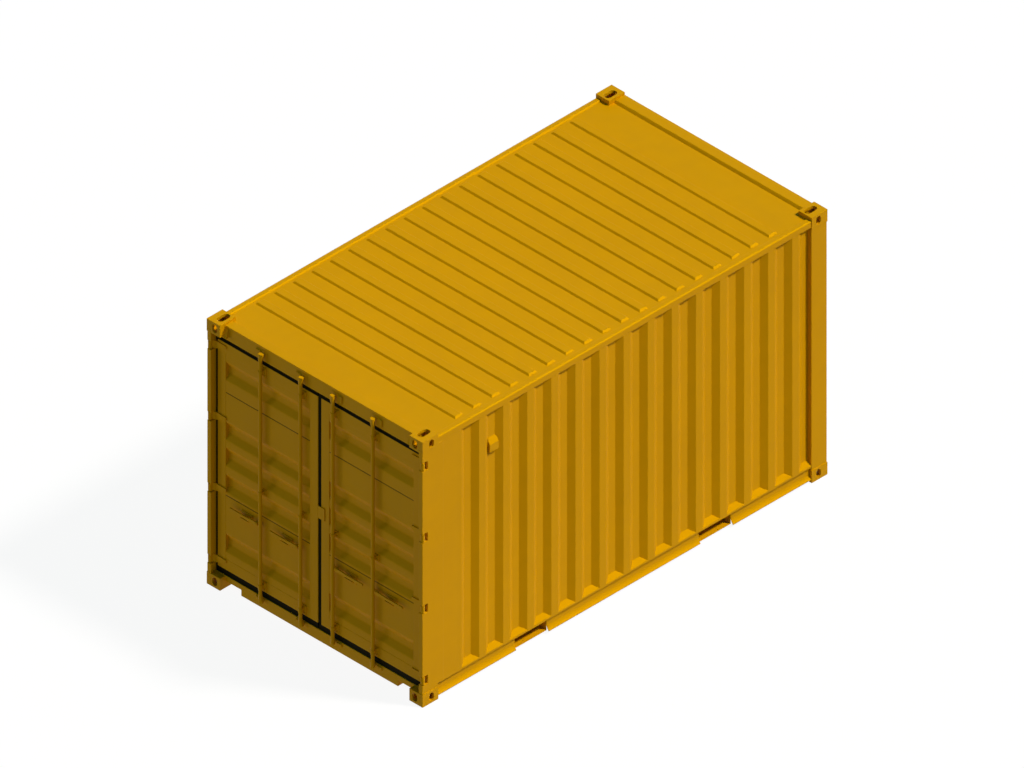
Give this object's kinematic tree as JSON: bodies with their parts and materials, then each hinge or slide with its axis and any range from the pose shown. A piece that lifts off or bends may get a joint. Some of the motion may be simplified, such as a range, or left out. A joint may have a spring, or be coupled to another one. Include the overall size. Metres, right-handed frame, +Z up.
{
  "type": "shipping container",
  "caption": "Steel shipping container with corrugated walls, ribbed roof, corner castings, forklift pockets and a pair of hinged cargo doors with locking bars.",
  "frame": {"origin": "middle of the footprint at the underside of the bottom castings", "axes": "+Z up, +Y along the length from the door end to the rear, +X to the right when facing the doors from outside"},
  "size_m": [2.438, 4.572, 2.591],
  "materials": {
    "yellow_paint": "satin yellow paint on steel",
    "seal_rubber": "black door seal",
    "floor_plywood": "varnished plywood"
  },
  "bodies": {
    "root": {"bottom_castings_door_end": "yellow_paint", "bottom_castings_rear_end": "yellow_paint", "top_castings_door_end": "yellow_paint", "top_castings_rear_end": "yellow_paint", "door_posts": "yellow_paint", "rear_posts": "yellow_paint", "door_header": "yellow_paint", "door_sill": "yellow_paint", "rear_header": "yellow_paint", "rear_sill": "yellow_paint", "left_bottom_rail": "yellow_paint", "right_bottom_rail": "yellow_paint", "top_side_rails": "yellow_paint", "left_wall": "yellow_paint", "right_wall": "yellow_paint", "rear_wall": "yellow_paint", "roof": "yellow_paint", "floor_boards": "floor_plywood", "cross_members": "yellow_paint", "fork_pockets": "yellow_paint", "bar_keepers": "yellow_paint", "hinge_pins": "yellow_paint", "wall_vents": "yellow_paint"},
    "left_door": {"left_door_frame": "yellow_paint", "left_door_panel": "yellow_paint", "left_door_seal": "seal_rubber", "left_hinge_blades": "yellow_paint", "left_bar_brackets": "yellow_paint", "left_handle_catches": "yellow_paint"},
    "right_door": {"right_door_frame": "yellow_paint", "right_door_panel": "yellow_paint", "right_door_seal": "seal_rubber", "right_hinge_blades": "yellow_paint", "right_bar_brackets": "yellow_paint", "right_handle_catches": "yellow_paint", "meeting_plate": "yellow_paint"},
    "left_outer_bar": {"left_outer_bar": "yellow_paint"},
    "left_outer_handle": {"left_outer_handle": "yellow_paint"},
    "left_inner_bar": {"left_inner_bar": "yellow_paint"},
    "left_inner_handle": {"left_inner_handle": "yellow_paint"},
    "right_outer_bar": {"right_outer_bar": "yellow_paint"},
    "right_outer_handle": {"right_outer_handle": "yellow_paint"},
    "right_inner_bar": {"right_inner_bar": "yellow_paint"},
    "right_inner_handle": {"right_inner_handle": "yellow_paint"}
  },
  "joints": [
    {"name": "left_door_hinge", "type": "hinge", "parent": "root", "child": "left_door", "pos_m": [-1.2, -2.266, 1.2955], "axis": [0, 0, -1], "range_deg": [0, 262]},
    {"name": "right_door_hinge", "type": "hinge", "parent": "root", "child": "right_door", "pos_m": [1.2, -2.266, 1.2955], "axis": [0, 0, 1], "range_deg": [0, 262]},
    {"name": "left_outer_bar_turn", "type": "hinge", "parent": "left_door", "child": "left_outer_bar", "pos_m": [-0.635, -2.265, 1.3175], "axis": [0, 0, -1], "range_deg": [-100, 0]},
    {"name": "left_outer_handle_lift", "type": "hinge", "parent": "left_outer_bar", "child": "left_outer_handle", "pos_m": [-0.677, -2.269, 0.842], "axis": [0, 1, 0], "range_deg": [0, 35]},
    {"name": "left_inner_bar_turn", "type": "hinge", "parent": "left_door", "child": "left_inner_bar", "pos_m": [-0.182, -2.265, 1.3175], "axis": [0, 0, -1], "range_deg": [-100, 0]},
    {"name": "left_inner_handle_lift", "type": "hinge", "parent": "left_inner_bar", "child": "left_inner_handle", "pos_m": [-0.224, -2.269, 0.842], "axis": [0, 1, 0], "range_deg": [0, 35]},
    {"name": "right_outer_bar_turn", "type": "hinge", "parent": "right_door", "child": "right_outer_bar", "pos_m": [0.635, -2.265, 1.3175], "axis": [0, 0, 1], "range_deg": [-100, 0]},
    {"name": "right_outer_handle_lift", "type": "hinge", "parent": "right_outer_bar", "child": "right_outer_handle", "pos_m": [0.677, -2.269, 0.842], "axis": [0, -1, 0], "range_deg": [0, 35]},
    {"name": "right_inner_bar_turn", "type": "hinge", "parent": "right_door", "child": "right_inner_bar", "pos_m": [0.182, -2.265, 1.3175], "axis": [0, 0, 1], "range_deg": [-100, 0]},
    {"name": "right_inner_handle_lift", "type": "hinge", "parent": "right_inner_bar", "child": "right_inner_handle", "pos_m": [0.224, -2.269, 0.842], "axis": [0, -1, 0], "range_deg": [0, 35]}
  ]
}
